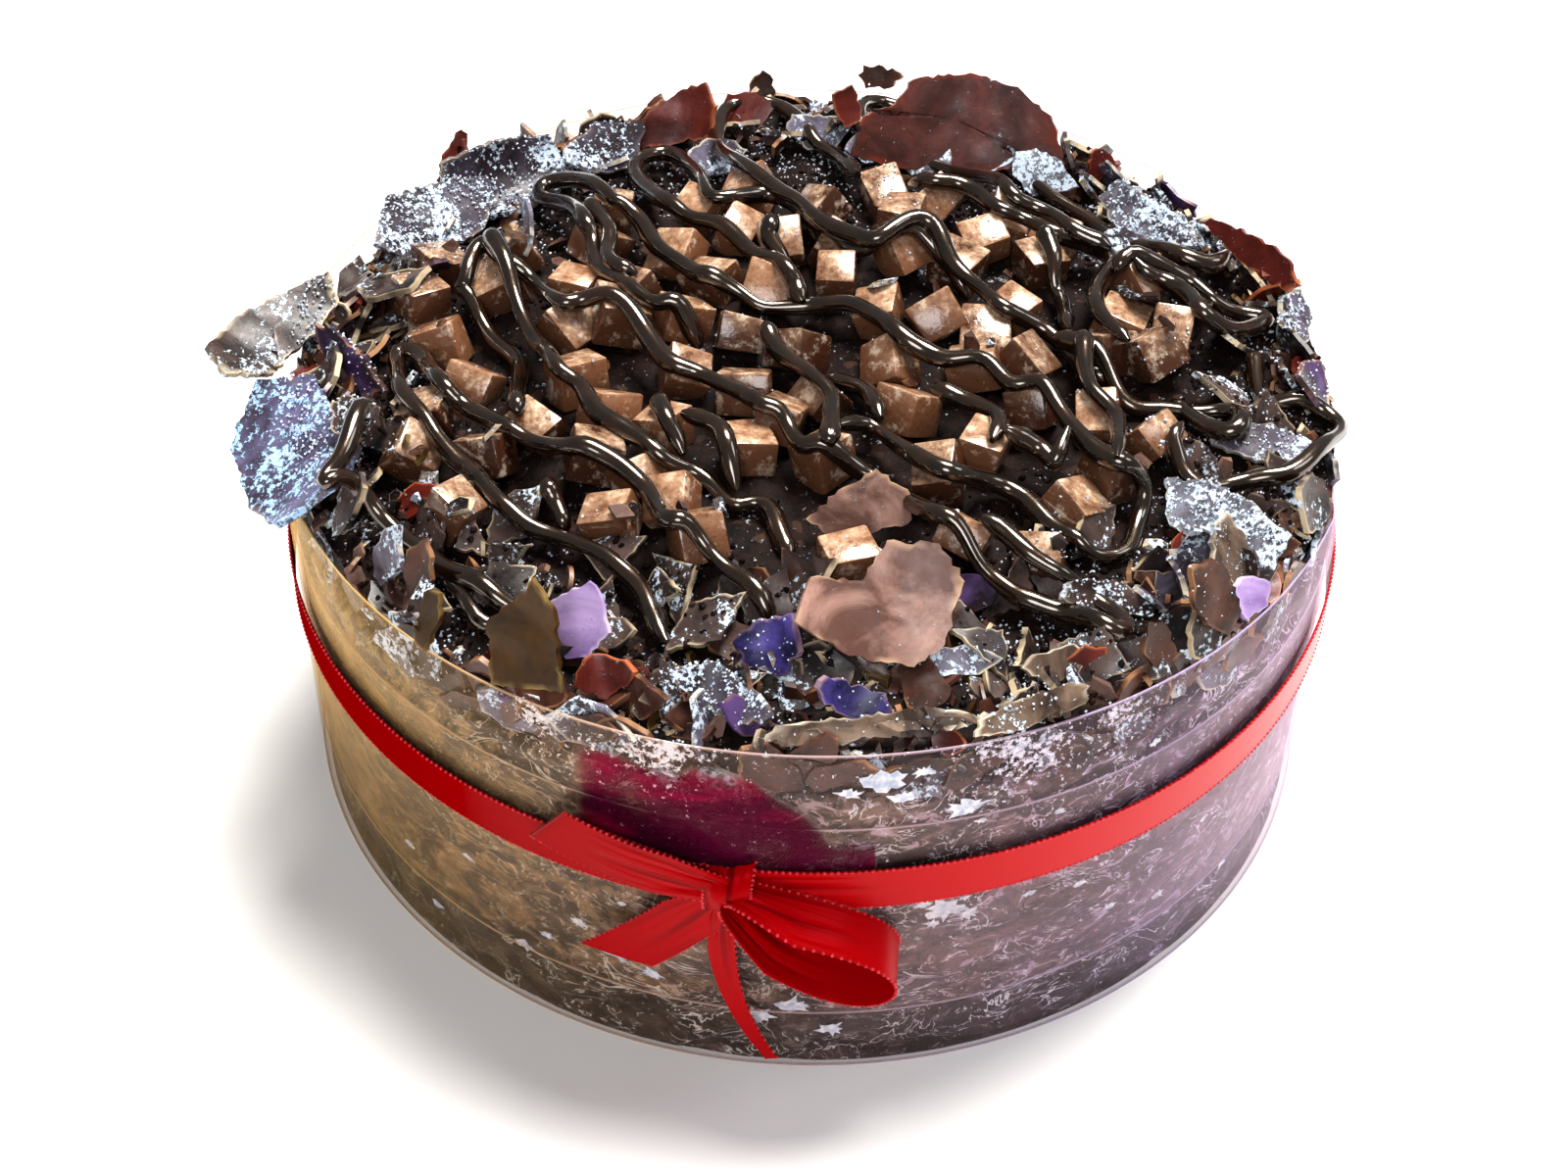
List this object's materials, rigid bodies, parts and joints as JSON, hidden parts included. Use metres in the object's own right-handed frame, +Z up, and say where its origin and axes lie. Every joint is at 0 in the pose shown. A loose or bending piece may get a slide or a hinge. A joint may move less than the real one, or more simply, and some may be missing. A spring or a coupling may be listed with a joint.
{
  "type": "chocolate celebration cake",
  "caption": "Round chocolate cake in a clear collar, tied with a red satin bow, its top heaped with chocolate cubes, broken shards and dark drizzle",
  "frame": {"origin": "centre of the cake's round flat underside", "axes": "+Z up out of the top of the cake, -Y towards the side with the bow, +X to the right seen from the bow"},
  "size_m": [0.2138, 0.2111, 0.0992],
  "materials": {
    "chocolate_coat": "smooth chocolate coating, rough at its lower and upper edges",
    "clear_film": "clear glossy acetate film",
    "red_satin": "red satin ribbon with dotted picot edges",
    "milk_chocolate": "moulded milk chocolate cubes with glossy dark drizzle and dusted flakes",
    "broken_chocolate": "satin broken dark chocolate, part dusted with icing sugar"
  },
  "bodies": {
    "root": {"cake": "chocolate_coat", "film_collar": "clear_film", "inner_strip": "clear_film", "ribbon": "red_satin", "shard_back_chip": "broken_chocolate", "shard_back_fan": "broken_chocolate", "shard_back_fin": "broken_chocolate", "shard_back_peak": "broken_chocolate", "shard_back_snow": "broken_chocolate", "shard_back_spike": "broken_chocolate", "shard_back_upright": "broken_chocolate", "shard_front_back": "broken_chocolate", "shard_front_base": "broken_chocolate", "shard_front_curl": "broken_chocolate", "shard_front_fan": "broken_chocolate", "shard_front_lilac": "broken_chocolate", "shard_front_long": "broken_chocolate", "shard_front_night": "broken_chocolate", "shard_front_plum": "broken_chocolate", "shard_front_sliver": "broken_chocolate", "shard_front_snow": "broken_chocolate", "shard_front_tan": "broken_chocolate", "shard_left_bank": "broken_chocolate", "shard_left_blade": "broken_chocolate", "shard_left_chip": "broken_chocolate", "shard_left_cloud": "broken_chocolate", "shard_left_curl": "broken_chocolate", "shard_left_drift": "broken_chocolate", "shard_left_upright": "broken_chocolate", "shard_right_dust": "broken_chocolate", "shard_right_edge": "broken_chocolate", "shard_right_flake": "broken_chocolate", "shard_right_loop": "broken_chocolate", "shard_right_snow": "broken_chocolate", "shard_right_tall": "broken_chocolate", "shard_rim_blade": "broken_chocolate", "shard_tail_leaf": "broken_chocolate", "topping_heap": "milk_chocolate"}
  },
  "joints": []
}
